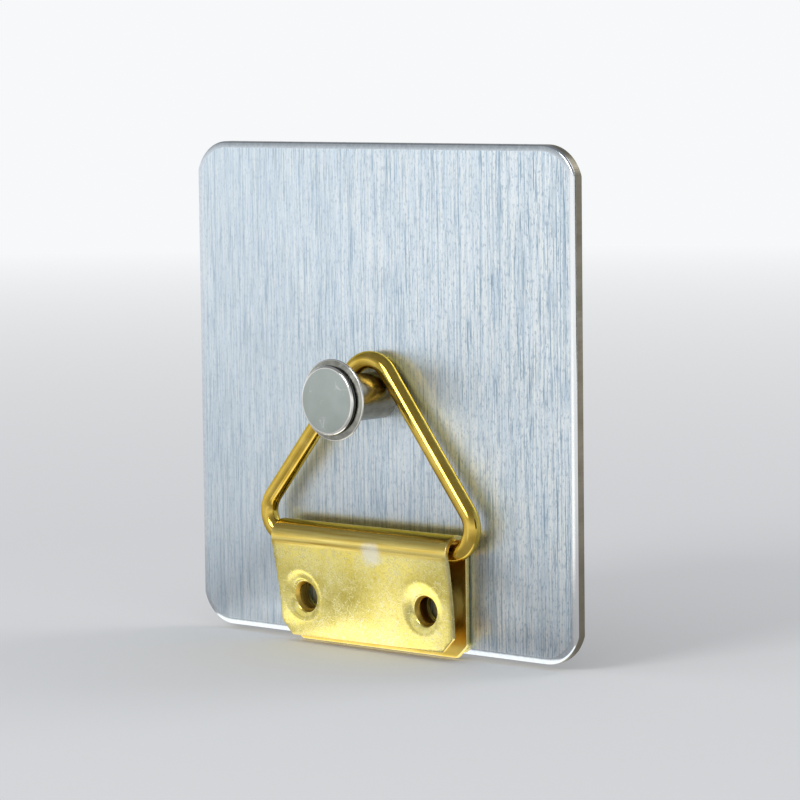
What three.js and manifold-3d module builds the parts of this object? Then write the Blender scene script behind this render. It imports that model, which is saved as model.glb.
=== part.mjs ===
// Adhesive wall hook: a brushed square plate with a turned peg, held to the wall by a foam pad,
// with a triangle hanger of bent brass wire and folded brass strip hanging on the peg.
// Millimetres, +Z up, +X to the right as seen from the front. The wall is the plane y = 0,
// the origin is the middle of the pad's back face, and the hook stands out towards -Y.
import * as THREE from 'three';
import { mergeVertices } from 'three/addons/utils/BufferGeometryUtils.js';
import Module from 'manifold-3d';

const wasm = await Module();
wasm.setup();

// Adhesive pad
const padThickness = 0.4;
const padInset = 0.6;          // the pad's edge stands this far inside the plate's

// Face plate
const plateWidth = 60;
const plateHeight = 60;
const plateThickness = 1.5;
const cornerRadius = 5;
const cornerSetback = 4.8;     // the corner arc's centre, measured in from the plate's side
const edgeRollWidth = 0.76;    // the front edge is rolled over by the punch
const edgeRollDepth = 0.37;

// Peg
const neckRadius = 2.8;
const neckLength = 8.1;
const neckFillet = 0.3;        // where the neck runs into the underside of the head
const flangeRadius = 4.86;
const flangeThickness = 0.45;
const flangeRound = 0.12;
const grooveRadius = 3.85;     // the waist between the flange and the face disc
const coveRadius = 0.2;
const discRadius = 4.17;
const discThickness = 0.6;
const discBackRound = 0.08;
const discFrontRound = 0.3;

// Screw that holds the peg from behind
const screwRadius = 1.5;
const screwLength = 6;         // from the back of its head to its tip
const screwHeadRadius = 2.6;
const screwHeadRim = 0.15;     // the short cylinder at the back of the countersunk head
const screwSink = 0.1;         // the head lies this far under the plate's back face
const screwTipChamfer = 0.4;
const crossWidth = 0.8;
const crossLength = 3;
const crossDepth = 0.7;
const screwClearance = 0.15;   // round the screw, in the plate and in the peg
const boreRunout = 0.6;        // the peg's bore goes on this far past the screw's tip
const drillTipLength = 0.7;    // the cone that the drill leaves at the end of the bore

// Triangle ring
const wireRadius = 1.05;
const ringClearance = 0.2;     // between the neck and the legs that it seats between
const ringWidth = 34.6;        // over the outside of the two lower corners
const ringDrop = 17.75;        // from the peg's axis down to the bottom bar's axis
const ringBendRadius = 3;      // lower corners, on the wire's axis
const apexBendRadius = 3.6;    // tighter than the neck, so the neck seats between the legs
const apexClearance = 0.5;     // between the plate and the top of the ring, which leans back to it
const wireEndGap = 0.6;        // the wire's two ends face each other inside the barrel

// Hanger strap
const sheetThickness = 0.6;
const strapWidth = 28;
const barrelClearance = 0.5;   // between the wire and the inside of the barrel
const plateClearance = 0.2;    // between the plate and the strap's back leaf
const backLeafLength = 12.7;   // from the bar's axis down to its lower edge
const frontLeafLength = 11.6;
const frontLeafLean = 6.6;     // degrees, in towards the back leaf
const leafCornerCut = 1.6;
const holeRadius = 1.85;
const holeSpacing = 19.5;
const holeDrop = 6.8;          // from the bar's axis down to the holes' centres
const dishRadius = 3.4;        // the rim of the dished hole in the leaf's front face
const dishDepth = 0.3;

const overrun = 1;             // how far a cutter goes past the face that it cuts

// Places that follow from the sizes
const plateFront = padThickness + plateThickness;
const barrelInner = wireRadius + barrelClearance;
const barrelOuter = barrelInner + sheetThickness;
const barFront = plateFront + plateClearance + barrelOuter;
const legReach = neckRadius + ringClearance + wireRadius;
const lean = THREE.MathUtils.degToRad(frontLeafLean);

// Facets
const cornerSteps = 8;
const rollSteps = 3;
const turnSteps = 48;
const screwSteps = 32;
const roundSteps = 2;
const wireSides = 20;
const bendSteps = 14;
const barrelSteps = 12;
const holeSteps = 28;

const materials = {
  brushedPlate: new THREE.MeshStandardMaterial({ color: 0xb9c4cc, roughness: 0.38, metalness: 1 }),
  foam: new THREE.MeshStandardMaterial({ color: 0x4c463a, roughness: 0.9, metalness: 0 }),
  nickel: new THREE.MeshStandardMaterial({ color: 0xc9cbc6, roughness: 0.15, metalness: 1 }),
  steel: new THREE.MeshStandardMaterial({ color: 0x9a9b9c, roughness: 0.35, metalness: 1 }),
  brass: new THREE.MeshStandardMaterial({ color: 0xd9b648, roughness: 0.22, metalness: 1 }),
};

// A closed geometry as a solid that can be joined and cut.
function toSolid(geometry) {
  const bare = geometry.clone();
  bare.deleteAttribute('normal');
  bare.deleteAttribute('uv');
  const merged = mergeVertices(bare, 1e-4);
  return new wasm.Manifold(new wasm.Mesh({
    numProp: 3,
    vertProperties: new Float32Array(merged.attributes.position.array),
    triVerts: new Uint32Array(merged.index.array),
  }));
}

function toGeometry(solid) {
  const mesh = solid.getMesh();
  const geometry = new THREE.BufferGeometry();
  geometry.setAttribute('position', new THREE.BufferAttribute(mesh.vertProperties, mesh.numProp));
  geometry.setIndex(new THREE.BufferAttribute(mesh.triVerts, 1));
  geometry.computeVertexNormals();
  return geometry;
}

function named(name, geometry, material) {
  const mesh = new THREE.Mesh(geometry, material);
  mesh.name = name;
  return mesh;
}

// A plate outline in the XZ plane: the corner arcs run smoothly into the top and bottom edges,
// and meet the sides at a slight angle, as a punched corner does.
function plateOutline(inset) {
  const halfWidth = plateWidth / 2 - inset;
  const halfHeight = plateHeight / 2 - inset;
  const radius = cornerRadius - inset;
  const setback = cornerSetback - inset;
  const sideAngle = Math.acos(Math.min(1, setback / radius));
  const x = halfWidth - setback;
  const y = halfHeight - radius;
  const quarter = Math.PI / 2;
  const shape = new THREE.Shape();
  shape.absarc(x, y, radius, sideAngle, quarter);
  shape.absarc(-x, y, radius, quarter, Math.PI - sideAngle);
  shape.absarc(-x, -y, radius, Math.PI + sideAngle, 3 * quarter);
  shape.absarc(x, -y, radius, 3 * quarter, 4 * quarter - sideAngle);
  shape.closePath();
  return shape;
}

// Turns a shape's extrusion so that it stands up in XZ and grows out of the wall, towards -Y.
function outFromWall(geometry, back) {
  geometry.rotateX(Math.PI / 2);
  geometry.translate(0, -back, 0);
  return geometry;
}

// A turned piece on the peg's axis: the profile's x is its radius and y its distance from the wall.
function turned(profile, steps) {
  const geometry = new THREE.LatheGeometry(profile, steps);
  geometry.rotateX(Math.PI);
  return geometry;
}

function adhesivePad() {
  const geometry = new THREE.ExtrudeGeometry(plateOutline(padInset), {
    depth: padThickness,
    bevelEnabled: false,
    curveSegments: cornerSteps,
  });
  return named('adhesive_pad', outFromWall(geometry, 0), materials.foam);
}

// The space that the screw needs in the plate: its countersunk head at the back, its shank in front.
function screwSeat() {
  const headRadius = screwHeadRadius + screwClearance;
  const shankRadius = screwRadius + screwClearance;
  const coneStart = padThickness + screwSink + screwHeadRim;
  const profile = new THREE.Path();
  profile.moveTo(0, padThickness - overrun);
  profile.lineTo(headRadius, padThickness - overrun);
  profile.lineTo(headRadius, coneStart);
  profile.lineTo(shankRadius, coneStart + headRadius - shankRadius);
  profile.lineTo(shankRadius, plateFront + overrun);
  profile.lineTo(0, plateFront + overrun);
  return turned(profile.getPoints(), screwSteps);
}

function facePlate() {
  const rolled = new THREE.ExtrudeGeometry(plateOutline(0), {
    depth: plateThickness - edgeRollDepth,
    bevelEnabled: true,
    bevelThickness: edgeRollDepth,
    bevelSize: edgeRollWidth,
    bevelOffset: -edgeRollWidth,
    bevelSegments: rollSteps,
    curveSegments: cornerSteps,
  });
  outFromWall(rolled, padThickness);
  const behind = new THREE.BoxGeometry(plateWidth + overrun, overrun, plateHeight + overrun);
  behind.translate(0, overrun / 2 - padThickness, 0);
  const solid = toSolid(rolled).subtract(toSolid(behind)).subtract(toSolid(screwSeat()));
  return named('face_plate', toGeometry(solid), materials.brushedPlate);
}

// Turned in one piece: a plain neck with a blind bore, a flange, a groove and a flat face disc.
function peg() {
  const quarter = Math.PI / 2;
  const boreRadius = screwRadius + screwClearance;
  const boreEnd = padThickness + screwSink + screwLength + boreRunout;
  const underside = plateFront + neckLength;
  const flangeTop = underside + flangeThickness;
  const discBack = flangeTop + coveRadius;
  const discTop = discBack + discThickness;
  const flangeCore = flangeRadius - flangeRound;
  const coveCentre = grooveRadius + coveRadius;
  const profile = new THREE.Path();
  profile.moveTo(0, boreEnd + drillTipLength);
  profile.lineTo(boreRadius, boreEnd);
  profile.lineTo(boreRadius, plateFront);
  profile.lineTo(neckRadius, plateFront);
  profile.absarc(neckRadius + neckFillet, underside - neckFillet, neckFillet, 2 * quarter, quarter, true);
  profile.absarc(flangeCore, underside + flangeRound, flangeRound, -quarter, 0);
  profile.absarc(flangeCore, flangeTop - flangeRound, flangeRound, 0, quarter);
  profile.absarc(coveCentre, flangeTop + coveRadius, coveRadius, -quarter, -2 * quarter, true);
  profile.absarc(discRadius - discBackRound, discBack + discBackRound, discBackRound, -quarter, 0);
  profile.absarc(discRadius - discFrontRound, discTop - discFrontRound, discFrontRound, 0, quarter);
  profile.lineTo(0, discTop);
  return named('peg', turned(profile.getPoints(roundSteps), turnSteps), materials.nickel);
}

function pegScrew() {
  const back = padThickness + screwSink;
  const coneStart = back + screwHeadRim;
  const tip = back + screwLength;
  const profile = new THREE.Path();
  profile.moveTo(0, back);
  profile.lineTo(screwHeadRadius, back);
  profile.lineTo(screwHeadRadius, coneStart);
  profile.lineTo(screwRadius, coneStart + screwHeadRadius - screwRadius);
  profile.lineTo(screwRadius, tip - screwTipChamfer);
  profile.lineTo(screwRadius - screwTipChamfer, tip);
  profile.lineTo(0, tip);
  let solid = toSolid(turned(profile.getPoints(), screwSteps));
  for (const angle of [0, Math.PI / 2]) {
    const slot = new THREE.BoxGeometry(crossLength, crossDepth + overrun, crossWidth);
    slot.translate(0, (overrun - crossDepth) / 2 - back, 0);
    slot.rotateY(angle);
    solid = solid.subtract(toSolid(slot));
  }
  return named('peg_screw', toGeometry(solid), materials.steel);
}

// A bent wire's axis, as a path whose steps are the given stations: many in a bend, few in a run.
class WirePath extends THREE.Curve {
  constructor(stations) {
    super();
    this.stations = stations;
  }

  getPoint(t, target = new THREE.Vector3()) {
    const place = t * (this.stations.length - 1);
    const index = Math.min(Math.floor(place), this.stations.length - 2);
    return target.lerpVectors(this.stations[index], this.stations[index + 1], place - index);
  }

  getUtoTmapping(u) {
    return u;
  }
}

// One length of wire, bent at the apex and at both lower corners, whose ends meet in the middle of
// the bottom bar. The peg's neck seats between the two legs, just under the apex, so the ring turns
// about the peg's axis. Its top leans back to the plate. The bottom bar's axis is at y = z = 0 here.
function triangleRing() {
  const bendX = ringWidth / 2 - wireRadius - ringBendRadius;
  const fall = ringDrop - ringBendRadius;
  // the legs' angle off the vertical: each keeps legReach from the peg's axis and touches its corner arc
  const spread = Math.atan2(bendX, fall) - Math.asin((legReach - ringBendRadius) / Math.hypot(bendX, fall));
  const apexZ = ringDrop + (legReach - apexBendRadius) / Math.sin(spread);
  const stations = [];
  const arc = (x, z, radius, from, to) => {
    for (let step = 0; step <= bendSteps; step += 1) {
      const angle = THREE.MathUtils.lerp(from, to, step / bendSteps);
      stations.push(new THREE.Vector3(x + radius * Math.cos(angle), 0, z + radius * Math.sin(angle)));
    }
  };
  stations.push(new THREE.Vector3(wireEndGap / 2, 0, 0));
  arc(bendX, ringBendRadius, ringBendRadius, -Math.PI / 2, spread);
  arc(0, apexZ, apexBendRadius, spread, Math.PI - spread);
  arc(-bendX, ringBendRadius, ringBendRadius, Math.PI - spread, 3 * Math.PI / 2);
  stations.push(new THREE.Vector3(-wireEndGap / 2, 0, 0));
  const section = new THREE.Shape();
  section.absarc(0, 0, wireRadius, 0, 2 * Math.PI);
  const geometry = new THREE.ExtrudeGeometry(section, {
    steps: stations.length - 1,
    extrudePath: new WirePath(stations),
    curveSegments: wireSides / 2,
  });
  const leanBack = barFront - plateFront - wireRadius - apexClearance;
  const ring = named('triangle_ring', geometry, materials.brass);
  ring.position.set(0, -barFront, -ringDrop);
  ring.rotation.x = -Math.asin(leanBack / (apexZ + apexBendRadius));
  return ring;
}

// Places a cutter on a leaf: its x runs along the strap, its y up the leaf from the bar's axis and
// its z out of the leaf, away from the wall.
function onLeaf(geometry, tilt) {
  geometry.rotateX(Math.PI / 2 + tilt);
  geometry.translate(0, -barFront, -ringDrop);
  return toSolid(geometry);
}

// A screw hole's cutter, which stands on the leaf's inner face. Its mouth is dished.
function holeCutter(x, inner, mouthRadius, mouthDepth) {
  const outer = inner + sheetThickness;
  const profile = new THREE.Path();
  profile.moveTo(0, inner - sheetThickness);
  profile.lineTo(holeRadius, inner - sheetThickness);
  profile.lineTo(holeRadius, outer - mouthDepth);
  profile.quadraticCurveTo((holeRadius + mouthRadius) / 2, outer, mouthRadius, outer);
  profile.lineTo(mouthRadius, outer + overrun);
  profile.lineTo(0, outer + overrun);
  const cutter = new THREE.LatheGeometry(profile.getPoints(2 * roundSteps), holeSteps);
  cutter.rotateX(Math.PI / 2);
  cutter.translate(x, -holeDrop, 0);
  return cutter;
}

// The corner of a leaf that is cut away, on the side that sign gives.
function cornerCutter(sign, inner, leafLength) {
  const edge = strapWidth / 2;
  const shape = new THREE.Shape();
  shape.moveTo(sign * (edge - leafCornerCut), -leafLength);
  shape.lineTo(sign * edge, leafCornerCut - leafLength);
  shape.lineTo(sign * (edge + overrun), leafCornerCut - leafLength);
  shape.lineTo(sign * (edge + overrun), -leafLength - overrun);
  shape.lineTo(sign * (edge - leafCornerCut), -leafLength - overrun);
  shape.closePath();
  const cutter = new THREE.ExtrudeGeometry(shape, { depth: 3 * sheetThickness, bevelEnabled: false });
  cutter.translate(0, 0, inner - sheetThickness);
  return cutter;
}

// One strip of sheet, folded round the ring's bottom bar: the back leaf hangs straight down, the
// barrel goes over the bar, and the front leaf comes down leaning in towards the back leaf.
function hangerStrap() {
  const along = new THREE.Vector2(-Math.sin(lean), -Math.cos(lean)).multiplyScalar(frontLeafLength);
  const across = new THREE.Vector2(Math.cos(lean), -Math.sin(lean));
  const outerEnd = across.clone().multiplyScalar(barrelOuter).add(along);
  const innerEnd = across.clone().multiplyScalar(barrelInner).add(along);
  const section = new THREE.Shape();
  section.moveTo(-barrelInner, -backLeafLength);
  section.lineTo(-barrelOuter, -backLeafLength);
  section.absarc(0, 0, barrelOuter, Math.PI, -lean, true);
  section.lineTo(outerEnd.x, outerEnd.y);
  section.lineTo(innerEnd.x, innerEnd.y);
  section.absarc(0, 0, barrelInner, -lean, Math.PI);
  section.closePath();
  const strip = new THREE.ExtrudeGeometry(section, {
    depth: strapWidth,
    bevelEnabled: false,
    curveSegments: barrelSteps,
  });
  const out = new THREE.Vector3(0, -1, 0);
  const up = new THREE.Vector3(0, 0, 1);
  const left = new THREE.Vector3(-1, 0, 0);
  const place = new THREE.Matrix4().makeBasis(out, up, left);
  place.setPosition(strapWidth / 2, -barFront, -ringDrop);
  strip.applyMatrix4(place);
  let solid = toSolid(strip);
  for (const sign of [-1, 1]) {
    const hole = sign * holeSpacing / 2;
    const cutters = [
      onLeaf(holeCutter(hole, barrelInner, dishRadius, dishDepth), lean),
      onLeaf(holeCutter(hole, -barrelOuter, holeRadius, 0), 0),
      onLeaf(cornerCutter(sign, barrelInner, frontLeafLength), lean),
      onLeaf(cornerCutter(sign, -barrelOuter, backLeafLength), 0),
    ];
    for (const cutter of cutters) {
      solid = solid.subtract(cutter);
    }
  }
  return named('hanger_strap', toGeometry(solid), materials.brass);
}

const hook = new THREE.Group();
hook.add(adhesivePad(), facePlate(), peg(), pegScrew(), triangleRing(), hangerStrap());

export default hook;
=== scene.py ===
# Adhesive wall hook: a brushed plate with a turned peg, and a brass triangle hanger on the peg.
# Metres, in the part's own frame: +Z up, the wall is y = 0, and the hook stands out towards -Y.
import math

import bmesh
import bpy
from mathutils import Matrix, Vector, noise
from mathutils.geometry import delaunay_2d_cdt

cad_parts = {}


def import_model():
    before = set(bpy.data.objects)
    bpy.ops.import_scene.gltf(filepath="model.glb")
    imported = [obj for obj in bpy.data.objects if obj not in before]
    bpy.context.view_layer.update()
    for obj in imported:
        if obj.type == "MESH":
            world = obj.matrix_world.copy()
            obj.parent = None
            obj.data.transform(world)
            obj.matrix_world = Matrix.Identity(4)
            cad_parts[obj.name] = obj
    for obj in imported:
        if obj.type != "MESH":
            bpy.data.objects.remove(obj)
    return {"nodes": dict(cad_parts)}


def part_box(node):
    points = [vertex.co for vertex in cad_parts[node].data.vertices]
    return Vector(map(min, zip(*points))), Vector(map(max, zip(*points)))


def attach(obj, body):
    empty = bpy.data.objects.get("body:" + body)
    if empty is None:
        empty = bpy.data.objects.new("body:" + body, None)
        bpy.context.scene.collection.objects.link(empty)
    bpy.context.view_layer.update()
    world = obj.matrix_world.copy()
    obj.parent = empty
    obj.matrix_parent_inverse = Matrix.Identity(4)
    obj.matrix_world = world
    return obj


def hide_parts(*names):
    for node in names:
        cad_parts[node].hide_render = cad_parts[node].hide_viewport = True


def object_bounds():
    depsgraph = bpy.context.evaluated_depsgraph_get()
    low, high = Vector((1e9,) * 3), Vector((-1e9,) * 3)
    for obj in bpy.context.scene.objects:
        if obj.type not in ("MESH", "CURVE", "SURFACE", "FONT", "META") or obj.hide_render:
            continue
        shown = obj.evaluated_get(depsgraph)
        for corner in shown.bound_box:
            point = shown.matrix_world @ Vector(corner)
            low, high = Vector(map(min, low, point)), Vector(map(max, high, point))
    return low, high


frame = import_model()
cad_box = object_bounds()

MM = 0.001
QUARTER = math.pi / 2

# Face plate
PLATE_LOW, PLATE_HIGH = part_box("face_plate")
PLATE_FRONT = -PLATE_LOW.y
PLATE_BACK = -PLATE_HIGH.y
PLATE_HALF_WIDTH = PLATE_HIGH.x
PLATE_HALF_HEIGHT = PLATE_HIGH.z
CORNER_RADIUS = 5 * MM
CORNER_SETBACK = 4.8 * MM
EDGE_SLOPE_WIDTH = 0.5 * MM
EDGE_SLOPE_DEPTH = 0.11 * MM
EDGE_ROUND = 0.26 * MM
BACK_EDGE_BREAK = 0.06 * MM
SCREW_PASSAGE_RADIUS = 1.65 * MM
CORNER_STEPS = 20
ROLL_STEPS = 7
PLATE_CREASE = math.radians(32)
BRUSHED, SHEARED, ROLLED = range(3)

# Peg
NECK_RADIUS = 2.8 * MM
NECK_LENGTH = 8.1 * MM
NECK_FILLET = 0.3 * MM
FLANGE_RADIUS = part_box("peg")[1].x
FLANGE_THICKNESS = 0.45 * MM
FLANGE_BACK_ROUND = 0.06 * MM
FLANGE_FRONT_ROUND = 0.14 * MM
FLANGE_SLOPE = 0.24 * MM
GROOVE_RADIUS = 3.85 * MM
COVE_RADIUS = 0.2 * MM
DISC_RADIUS = 4.17 * MM
DISC_THICKNESS = 0.6 * MM
DISC_BACK_ROUND = 0.08 * MM
DISC_FRONT_ROUND = 0.42 * MM
DISC_FRONT_WIDTH = 0.36 * MM
BORE_RADIUS = 1.65 * MM
BORE_END = 7.1 * MM
DRILL_TIP_LENGTH = 0.7 * MM
TURN_STEPS = 144
ROUND_STEPS = 6
SHADED_SIDE_STEPS = 2
PEG_CREASE = math.radians(32)
# Finishes of the peg's bands: the groove, neck and slope ones carry painted shade
POLISHED, SATIN, SHADED_GROOVE, SHADED_NECK, SHADED_SLOPE = range(5)

# Triangle ring
WIRE_RADIUS = 1.05 * MM
RING_CLEARANCE = 0.2 * MM
RING_HALF_WIDTH = 17.3 * MM
RING_DROP = 17.75 * MM
RING_BEND_RADIUS = 3 * MM
APEX_BEND_RADIUS = 3.6 * MM
APEX_CLEARANCE = 0.5 * MM
WIRE_END_GAP = 0.6 * MM
WIRE_END_BREAK = 0.15 * MM
WIRE_SIDES = 40
BEND_STEPS = 28
LEG_STEPS = 12
RING_CREASE = math.radians(40)

# Hanger strap
STRAP_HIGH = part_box("hanger_strap")[1]
SHEET = 0.6 * MM
STRAP_HALF_WIDTH = STRAP_HIGH.x
BARREL_INNER = 1.55 * MM
BARREL_OUTER = BARREL_INNER + SHEET
BAR_FRONT = -STRAP_HIGH.y + BARREL_OUTER
BACK_LEAF_LENGTH = 12.7 * MM
FRONT_LEAF_LENGTH = 11.45 * MM
FRONT_LEAF_LEAN = math.radians(10.5)
FRONT_LEAF_END_LEAN = math.radians(2.5)
LEAF_CORNER_CUT = 1.6 * MM
LEAF_CORNER_ROUND = 0.5 * MM
SHEET_EDGE_ROUND = 0.09 * MM
HOLE_RADIUS = 1.85 * MM
HOLE_X = 9.75 * MM
HOLE_DROP = 6.8 * MM
DISH_RADIUS = 3.4 * MM
DISH_DEPTH = 0.36 * MM
DISH_SHIFT = 0.35 * MM
FUNNEL_RADIUS = 1.8 * MM
FUNNEL_END_RADIUS = 1.55 * MM
FUNNEL_CONE_DEPTH = 0.4 * MM
FUNNEL_DEPTH = 1.1 * MM
COLLAR_RADIUS = 2.9 * MM
PINCH_DEPTH = 0.7 * MM
SKEW = 0.4 * MM
WAVE_HEIGHT = 0.05 * MM
WAVE_LENGTH = 7 * MM
FLARE_LENGTH = 5 * MM
FLARE_HEIGHT = 0.16 * MM
ROW_STEP = 0.22 * MM
LEAF_ROW_SPACING = 2
COLUMN_STEP = 0.7 * MM
HOLE_STEPS = 64
DISH_RINGS = 12
EDGE_STEPS = 3
STRAP_CREASE = math.radians(50)
LEAF_FACE, STRAP_EDGE, STRAP_INSIDE, FUNNEL_WALL = range(4)

# Camera: a long lens, from the front right and a little above
VIEW_AZIMUTH = math.radians(41.663)
VIEW_ELEVATION = math.radians(5.414)
VIEW_ROLL = math.radians(-0.673)
VIEW_TARGET = Vector((3.254, -1.9, -0.458)) * MM
VIEW_DISTANCE = 440.337 * MM
LENS_PIXELS = 3707.062
IMAGE_PIXELS = 800
SENSOR_WIDTH = 36
VIEW_CLIP = (10 * MM, 20)


def outwards(azimuth, elevation):
    """The way out from the hook. Azimuth 0 is straight in front, and grows to the right."""
    return Vector((
        math.sin(azimuth) * math.cos(elevation),
        -math.cos(azimuth) * math.cos(elevation),
        math.sin(elevation),
    ))


def camera():
    back = outwards(VIEW_AZIMUTH, VIEW_ELEVATION)
    right = (-back).cross(Vector((0, 0, 1))).normalized()
    up = right.cross(-back)
    turned_right = math.cos(VIEW_ROLL) * right + math.sin(VIEW_ROLL) * up
    turned_up = math.cos(VIEW_ROLL) * up - math.sin(VIEW_ROLL) * right
    data = bpy.data.cameras.new("camera")
    data.sensor_width = SENSOR_WIDTH
    data.lens = LENS_PIXELS / IMAGE_PIXELS * SENSOR_WIDTH
    data.clip_start, data.clip_end = VIEW_CLIP
    made = bpy.data.objects.new("camera", data)
    bpy.context.scene.collection.objects.link(made)
    turn = Matrix((turned_right, turned_up, back)).transposed().to_4x4()
    made.matrix_world = Matrix.Translation(VIEW_TARGET + back * VIEW_DISTANCE) @ turn
    bpy.context.scene.camera = made


def piece(name, mesh_maker, materials, body, node):
    """A new piece that stands for one CAD node and rides on its body."""
    mesh = bpy.data.meshes.new(name)
    solid = bmesh.new()
    mesh_maker(solid)
    bmesh.ops.recalc_face_normals(solid, faces=solid.faces)
    solid.to_mesh(mesh)
    solid.free()
    made = bpy.data.objects.new(name, mesh)
    bpy.context.scene.collection.objects.link(made)
    for material in materials:
        mesh.materials.append(material)
    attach(made, body)
    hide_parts(node)
    return made


def sharp_edges(made, angle):
    """Shades a piece smooth, but keeps the edges that turn by more than the angle."""
    made.data.shade_smooth()
    made.data.set_sharp_from_angle(angle=angle)


def loop_of(solid, points):
    return [solid.verts.new(point) for point in points]


def bridge(solid, first, second, material=0):
    """Joins two closed loops of the same length with a band of quads."""
    count = len(first)
    for index in range(count):
        after = (index + 1) % count
        face = solid.faces.new((first[index], first[after], second[after], second[index]))
        face.material_index = material


def fill_between(solid, loops, material):
    """Fills a flat face that is bounded by one outer loop and any loops inside it."""
    edges = []
    for loop in loops:
        for index, vertex in enumerate(loop):
            after = loop[(index + 1) % len(loop)]
            edges.append(solid.edges.get((vertex, after)) or solid.edges.new((vertex, after)))
    made = bmesh.ops.triangle_fill(solid, use_beauty=True, edges=edges)
    for item in made["geom"]:
        if isinstance(item, bmesh.types.BMFace):
            item.material_index = material


def arc(centre, radius, start, end, steps):
    """Points (a, b) on an arc, both ends included."""
    points = []
    for step in range(steps + 1):
        angle = start + (end - start) * step / steps
        points.append((centre[0] + radius * math.cos(angle), centre[1] + radius * math.sin(angle)))
    return points


def circle(centre, radius, steps):
    return arc(centre, radius, 0, 4 * QUARTER, steps)[:-1]


def run(start, end):
    """A straight run from start up to, but without, its end."""
    points = []
    for step in range(LEG_STEPS):
        share = step / LEG_STEPS
        points.append((start[0] + (end[0] - start[0]) * share, start[1] + (end[1] - start[1]) * share))
    return points


# Plate
def plate_outline(inset):
    """The plate's outline as (x, z), with corner arcs that meet the sides at a slight angle."""
    radius = CORNER_RADIUS - inset
    setback = CORNER_SETBACK - inset
    side_angle = math.acos(min(1, setback / radius))
    x = PLATE_HALF_WIDTH - inset - setback
    z = PLATE_HALF_HEIGHT - inset - radius
    points = arc((x, z), radius, side_angle, QUARTER, CORNER_STEPS)
    points += arc((-x, z), radius, QUARTER, math.pi - side_angle, CORNER_STEPS)
    points += arc((-x, -z), radius, math.pi + side_angle, 3 * QUARTER, CORNER_STEPS)
    points += arc((x, -z), radius, 3 * QUARTER, 4 * QUARTER - side_angle, CORNER_STEPS)
    return points


def plate_mesh(solid):
    """A punched plate: a square back edge, plain walls and a front edge that the punch rolled over."""
    sections = [(BACK_EDGE_BREAK, PLATE_BACK), (0, PLATE_BACK + BACK_EDGE_BREAK)]
    slope = math.atan2(EDGE_SLOPE_DEPTH, EDGE_SLOPE_WIDTH)
    middle = (EDGE_ROUND, PLATE_FRONT - EDGE_SLOPE_DEPTH - EDGE_ROUND)
    for inset, out in arc(middle, EDGE_ROUND, 2 * QUARTER, QUARTER + slope, ROLL_STEPS):
        sections.append((inset, out))
    sections.append((EDGE_ROUND + EDGE_SLOPE_WIDTH, PLATE_FRONT))
    loops = []
    for inset, out in sections:
        loops.append(loop_of(solid, [(x, -out, z) for x, z in plate_outline(inset)]))
    for index in range(len(loops) - 1):
        bridge(solid, loops[index], loops[index + 1], SHEARED if index < 2 else ROLLED)
    passage = circle((0, 0), SCREW_PASSAGE_RADIUS, TURN_STEPS)
    back_hole = loop_of(solid, [(x, -PLATE_BACK, z) for x, z in passage])
    front_hole = loop_of(solid, [(x, -PLATE_FRONT, z) for x, z in passage])
    bridge(solid, back_hole, front_hole, SHEARED)
    fill_between(solid, [loops[0], back_hole], SHEARED)
    fill_between(solid, [loops[-1], front_hole], BRUSHED)


def flat_map(made):
    """A map that runs along X and Z, so that the grain's direction is known on the front face."""
    layer = made.data.uv_layers.new(name="grain")
    span = 2 * PLATE_HALF_WIDTH
    for corner in made.data.loops:
        place = made.data.vertices[corner.vertex_index].co
        layer.data[corner.index].uv = (place.x / span + 0.5, place.z / span + 0.5)


# Peg
def outer_round(radius, level, size, side, width=None):
    """The rounded corner of a turned rim: side -1 is its back corner, and side 1 its front one.

    It is as wide as it is high unless a width is given.
    """
    width = width or size
    start, end = (0, QUARTER) if side > 0 else (-QUARTER, 0)
    middle = (radius - width, level - side * size)
    corner = arc((0, 0), 1, start, end, ROUND_STEPS)
    return [(middle[0] + width * a, middle[1] + size * b) for a, b in corner]


def peg_profile():
    """(radius, distance from the wall) from the bore to the face, and the finishes of the bands painted
    darker as shade.
    """
    underside = PLATE_FRONT + NECK_LENGTH
    flange_top = underside + FLANGE_THICKNESS
    disc_back = flange_top + COVE_RADIUS
    disc_top = disc_back + DISC_THICKNESS
    fillet = (NECK_RADIUS + NECK_FILLET, underside - NECK_FILLET)
    cove = (GROOVE_RADIUS + COVE_RADIUS, flange_top + COVE_RADIUS)
    points = [(BORE_RADIUS, BORE_END), (BORE_RADIUS, PLATE_FRONT), (NECK_RADIUS, PLATE_FRONT)]
    neck_foot = len(points) - 2
    points += arc(fillet, NECK_FILLET, 2 * QUARTER, QUARTER, ROUND_STEPS)
    points += outer_round(FLANGE_RADIUS, underside, FLANGE_BACK_ROUND, -1)
    points += outer_round(FLANGE_RADIUS, flange_top - FLANGE_SLOPE, FLANGE_FRONT_ROUND, 1)
    slope = len(points) - 1
    points += arc(cove, COVE_RADIUS, -QUARTER, -2 * QUARTER, ROUND_STEPS)
    points += outer_round(DISC_RADIUS, disc_back, DISC_BACK_ROUND, -1)
    groove_end = len(points) + SHADED_SIDE_STEPS
    points += outer_round(DISC_RADIUS, disc_top, DISC_FRONT_ROUND, 1, DISC_FRONT_WIDTH)
    finishes = {neck_foot: SHADED_NECK, neck_foot + 1: SHADED_NECK, slope: SHADED_SLOPE}
    finishes.update(dict.fromkeys(range(slope + 1, groove_end), SHADED_GROOVE))
    return points, finishes


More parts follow.
